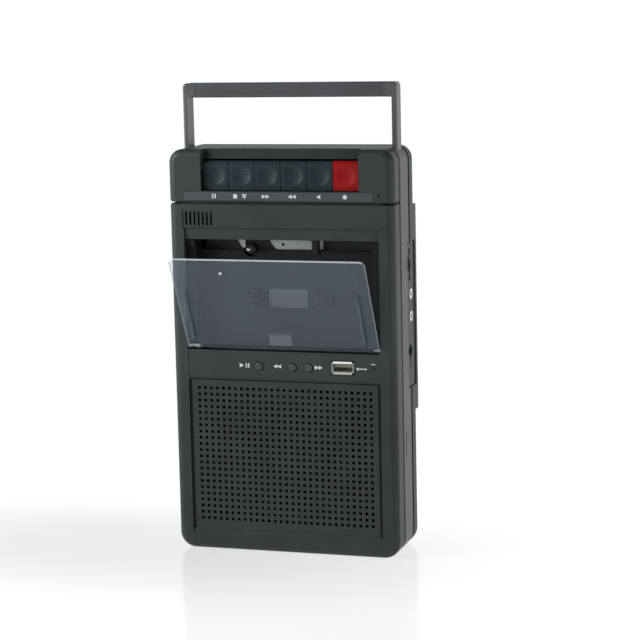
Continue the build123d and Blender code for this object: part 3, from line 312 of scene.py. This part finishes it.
def shade_case(material):
    """Painted shade: the well and its channels are given a darker colour than the face around them,
    and the lower front is painted darker as if less lit.
    """
    well_front = -0.0222
    well_back = -0.004
    well_half = 0.0592
    well_low = 0.1200
    well_high = 0.1856
    # colour of the painted shade inside the well
    well_shade_color = (0.009, 0.012, 0.013, 1)
    # painted shade: the case colour darkens below these heights, as if less lit
    darker_below = 0.085
    lighter_above = 0.125
    lowest_shade_scale = 0.74
    tree = material.node_tree
    base = tree.nodes["Principled BSDF"].inputs["Base Color"]
    place = object_place(tree)
    depth = along(tree, place, INWARD)
    sideways = math_node(tree, "ABSOLUTE", along(tree, place, ACROSS))
    height = along(tree, place, UPWARD)
    # painted shade: points inside the well take a near-black colour
    recess_shade = product(
        tree,
        above(tree, depth, well_front),
        below(tree, depth, well_back),
        below(tree, sideways, well_half),
        below(tree, height, well_high),
        above(tree, height, well_low),
    )
    mix = tree.nodes.new("ShaderNodeMix")
    mix.data_type = "RGBA"
    mix.inputs["B"].default_value = well_shade_color
    tree.links.new(recess_shade, mix.inputs["Factor"])
    tree.links.new(base.links[0].from_socket, mix.inputs["A"])
    # painted shade: the colour is scaled down towards the bottom of the case
    tone = ranged(tree, height, darker_below, lighter_above, lowest_shade_scale, 1.0, smooth=True)
    dim = tree.nodes.new("ShaderNodeVectorMath")
    dim.operation = "SCALE"
    tree.links.new(mix.outputs["Result"], dim.inputs[0])
    tree.links.new(tone, dim.inputs["Scale"])
    tree.links.new(dim.outputs[0], base)


rib_finger_faces(finishes["key_plastic"])
rib_finger_faces(finishes["record_key_red"])
shade_case(finishes["case_plastic"])

print_white = surface("print_white", (0.62, 0.64, 0.66), 0.5, 1800, 0.05, 0.06)
# white finish for the painted glint on the lid
painted_glint_white = surface("painted_glint_white", (0.8, 0.82, 0.84), 0.3, 900, 0.0, 0.05)
pad_grey = surface("pad_grey", (0.085, 0.09, 0.10), 0.45, 1500, 0.05)


# ---------------------------------------------------------------- printed symbols
def mesh_piece(name, points, faces, material):
    mesh = bpy.data.meshes.new(name)
    mesh.from_pydata(points, [], faces)
    mesh.update()
    piece = bpy.data.objects.new(name, mesh)
    bpy.context.scene.collection.objects.link(piece)
    mesh.materials.append(material)
    return piece


def flat_shapes(name, shapes, y, material, lift=0.03):
    """Thin printed shapes; each is a list of (x, z) points in millimetres on the plane at depth y."""
    points = []
    faces = []
    for outline in shapes:
        start = len(points)
        points += [(x * MM, (y - lift) * MM, z * MM) for x, z in outline]
        faces.append(list(range(start, start + len(outline))))
    piece = mesh_piece(name, points, faces, material)
    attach(piece, "case")
    return piece


def bar(x, z, wide, high):
    left, right = x - wide / 2, x + wide / 2
    low, high = z - high / 2, z + high / 2
    return [(left, low), (right, low), (right, high), (left, high)]


def bars(x, z, gap, wide, high):
    return [bar(x - gap / 2, z, wide, high), bar(x + gap / 2, z, wide, high)]


def arrow(x, z, size, way):
    blunt, tip = x - way * size / 2, x + way * size / 2
    return [(blunt, z - size / 2), (tip, z), (blunt, z + size / 2)]


def arrows(x, z, size, way):
    return [arrow(x - size / 2, z, size, way), arrow(x + size / 2, z, size, way)]


def open_lid(x, z):
    """A line over a triangle that points down."""
    return [
        bar(x, z + 1.0, 2.8, 0.6),
        [(x - 1.4, z + 0.3), (x + 1.4, z + 0.3), (x, z - 1.4)],
    ]


def disc(x, z, r):
    steps = [k * math.pi / 8 for k in range(16)]
    return [(x + r * math.cos(angle), z + r * math.sin(angle)) for angle in steps]


# over the keys, left to right: pause, stop and eject, wind on, wind back, play, record
KEY_PITCH = 15.8
LEGEND_Z = 211.1
LEGEND_Y = FRONT - 0.2
pause_x, stop_x, forward_x, rewind_x, play_x, record_x = [(k - 2.5) * KEY_PITCH for k in range(6)]
legend = [
    *bars(pause_x, LEGEND_Z, 1.6, 0.8, 2.6),
    bar(stop_x - 2.8, LEGEND_Z, 2.4, 2.4),
    *open_lid(stop_x + 2.8, LEGEND_Z),
    *arrows(forward_x, LEGEND_Z, 2.4, 1),
    *arrows(rewind_x, LEGEND_Z, 2.4, -1),
    arrow(play_x, LEGEND_Z, 2.6, -1),
    disc(record_x, LEGEND_Z, 1.3),
]
flat_shapes("legend_symbols", legend, LEGEND_Y, print_white)

# satin face of the pad between the reels
pad = flat_shapes("pad_face", [bar(0, 150, 23.6, 11.0)], -10.2, pad_grey)

# beside the three buttons, the socket and the lamp
STRIP_Y = FRONT + 0.3
STRIP_Z = 112.0
LAMP_DASH_Z = 114.9
strip_marks = [
    arrow(-25.4, STRIP_Z, 2.6, 1),
    *bars(-21.9, STRIP_Z, 1.4, 0.7, 2.6),
    *arrows(-3.6, STRIP_Z, 2.4, -1),
    *arrows(21.6, STRIP_Z, 2.4, 1),
    bar(47.6, STRIP_Z, 4.4, 0.5),
    disc(45.2, STRIP_Z, 0.8),
    arrow(50.2, STRIP_Z, 1.4, 1),
    bar(54.4, LAMP_DASH_Z, 2.6, 0.45),
]
flat_shapes("strip_symbols", strip_marks, STRIP_Y, print_white)

# painted glint: a small white sphere near the lid's free edge stands in for a highlight
GLINT_DOT_X = -27.9
GLINT_DOT_UP = 53.8
GLINT_DOT_OUT = 2.0
GLINT_DOT_R = 0.8
bpy.ops.mesh.primitive_uv_sphere_add(segments=16, ring_count=8, radius=GLINT_DOT_R * MM)
glint_dot = bpy.context.object
glint_dot.name = "lid_glint_dot"
glint_dot.location = LID_AXIS + (LID_UP * GLINT_DOT_UP + LID_OUT * GLINT_DOT_OUT + ACROSS * GLINT_DOT_X) * MM
glint_dot.data.materials.append(painted_glint_white)
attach(glint_dot, "lid")


# ---------------------------------------------------------------- floor, backdrop and world
def stage_sheet(name, corners, material):
    piece = mesh_piece(name, corners, [(0, 1, 2, 3)], material)


def glowing(tree, scale, color, depth):
    """Emission with a slight, broad unevenness."""
    glow = tree.nodes.new("ShaderNodeEmission")
    uneven = spread(tree, noise(tree, scale, 2.0), 0, 1)
    tree.links.new(tinted(tree, uneven, color, depth), glow.inputs[0])
    return glow


def floor_shade(tree):
    """The floor dims where the player shades it, mostly to its left."""
    mapping = tree.nodes.new("ShaderNodeMapping")
    mapping.inputs["Location"].default_value = (0.35, 0.20, 0.0)
    mapping.inputs["Scale"].default_value = (3.2, 6.5, 1.0)
    tree.links.new(object_place(tree), mapping.inputs[0])
    blob = tree.nodes.new("ShaderNodeTexGradient")
    blob.gradient_type = "SPHERICAL"
    tree.links.new(mapping.outputs[0], blob.inputs[0])
    return ranged(tree, blob.outputs[1], 0, 0.9, 1.0, 0.76, smooth=True)


def pale_floor():
    """White glow dimmed by a painted shadow, with a weak mirror image and a weak shadow."""
    mirror_share = 0.12
    shadow_share = 0.12
    material, tree, shader = new_material("pale_floor")
    output = tree.nodes["Material Output"]
    tree.nodes.remove(shader)
    glow = glowing(tree, 3.0, (0.985, 0.985, 1.0), 0.01)
    # painted shadow: the floor's glow is dimmed around the player, mostly to its left
    tree.links.new(floor_shade(tree), glow.inputs["Strength"])
    gloss = simple_shader(tree, "ShaderNodeBsdfGlossy", (1, 1, 1))
    tree.links.new(spread(tree, noise(tree, 30.0, 2.0), 0.10, 0.16), gloss.inputs["Roughness"])
    matte = simple_shader(tree, "ShaderNodeBsdfDiffuse", (0.8, 0.8, 0.82))
    black = simple_shader(tree, "ShaderNodeBsdfTransparent", (0, 0, 0))
    under = blend_shaders(tree, mirror_share, glow.outputs[0], gloss.outputs[0])
    weak = blend_shaders(tree, shadow_share, black.outputs[0], matte.outputs[0])
    tree.links.new(add_shaders(tree, under, weak), output.inputs[0])
    return material


def white_backdrop():
    material, tree, shader = new_material("white_backdrop")
    output = tree.nodes["Material Output"]
    tree.nodes.remove(shader)
    glow = glowing(tree, 2.0, (1.0, 1.0, 1.0), 0.004)
    glow.inputs["Strength"].default_value = 1.02
    tree.links.new(glow.outputs[0], output.inputs[0])
    return material


HALF_WIDE = 4
FLOOR_Z = -0.0002
FLOOR_NEAR = -0.42
BACKDROP_Y = 3
BACKDROP_LOW = -0.1
BACKDROP_HIGH = 1.6
stage_sheet(
    "floor",
    [
        (-HALF_WIDE, FLOOR_NEAR, FLOOR_Z), (HALF_WIDE, FLOOR_NEAR, FLOOR_Z),
        (HALF_WIDE, BACKDROP_Y, FLOOR_Z), (-HALF_WIDE, BACKDROP_Y, FLOOR_Z),
    ],
    pale_floor(),
)
stage_sheet(
    "backdrop",
    [
        (-HALF_WIDE, BACKDROP_Y, BACKDROP_LOW), (HALF_WIDE, BACKDROP_Y, BACKDROP_LOW),
        (HALF_WIDE, BACKDROP_Y, BACKDROP_HIGH), (-HALF_WIDE, BACKDROP_Y, BACKDROP_HIGH),
    ],
    white_backdrop(),
)

# the room is bright at both sides, dimmer on the right, and dark overhead
world = bpy.data.worlds.new("room")
bpy.context.scene.world = world
world.use_nodes = True
tree = world.node_tree
background = tree.nodes["Background"]
background.inputs["Color"].default_value = (0.96, 0.98, 1.0, 1)
place = tree.nodes.new("ShaderNodeTexCoord")
split = tree.nodes.new("ShaderNodeSeparateXYZ")
tree.links.new(place.outputs["Generated"], split.inputs[0])
either_side = math_node(tree, "ABSOLUTE", split.outputs["X"])
strength = product(
    tree,
    ranged(tree, either_side, 0.35, 0.95, 0.30, 0.85, smooth=True),
    ranged(tree, split.outputs["Z"], 0.15, 0.75, 1.0, 0.08, smooth=True),
    ranged(tree, split.outputs["X"], 0.0, 0.8, 1.0, 0.5, smooth=True),
)
tree.links.new(strength, background.inputs["Strength"])


# ---------------------------------------------------------------- lights
def softbox(name, place, target, size, power):
    light = bpy.data.lights.new(name, "AREA")
    light.shape = "RECTANGLE"
    light.size, light.size_y = size
    light.energy = power
    lamp = bpy.data.objects.new(name, light)
    bpy.context.scene.collection.objects.link(lamp)
    lamp.location = place
    way = Vector(target) - Vector(place)
    lamp.rotation_euler = way.to_track_quat("-Z", "Y").to_euler()


softbox("right_box", (1.1, -0.30, 0.30), (0, 0, 0.12), (0.35, 1.0), 4)
softbox("left_box", (-0.68, -0.45, 0.50), (-0.03, 0, 0.20), (0.4, 0.6), 7.5)

# ---------------------------------------------------------------- camera
AZIMUTH = math.radians(17.32)
ELEVATION = math.radians(8.96)
ROLL = math.radians(-1.25)
LENS_MM = 119.1
SENSOR_MM = 36
CAMERA_PLACE = (0.3816, -1.1735, 0.3299)
level = math.cos(ELEVATION)
back = Vector((math.sin(AZIMUTH) * level, -math.cos(AZIMUTH) * level, math.sin(ELEVATION)))
right = Vector((math.cos(AZIMUTH), math.sin(AZIMUTH), 0))
up = back.cross(right)
turned_right = right * math.cos(ROLL) + up * math.sin(ROLL)
turned_up = up * math.cos(ROLL) - right * math.sin(ROLL)
lens = bpy.data.cameras.new("camera")
lens.lens = LENS_MM
lens.sensor_width = SENSOR_MM
camera = bpy.data.objects.new("camera", lens)
bpy.context.scene.collection.objects.link(camera)
rotation = Matrix((turned_right, turned_up, back)).transposed()
camera.matrix_world = Matrix.Translation(CAMERA_PLACE) @ rotation.to_4x4()
bpy.context.scene.camera = camera
bpy.context.scene.view_settings.view_transform = "Standard"
bpy.context.scene.view_settings.look = "None"
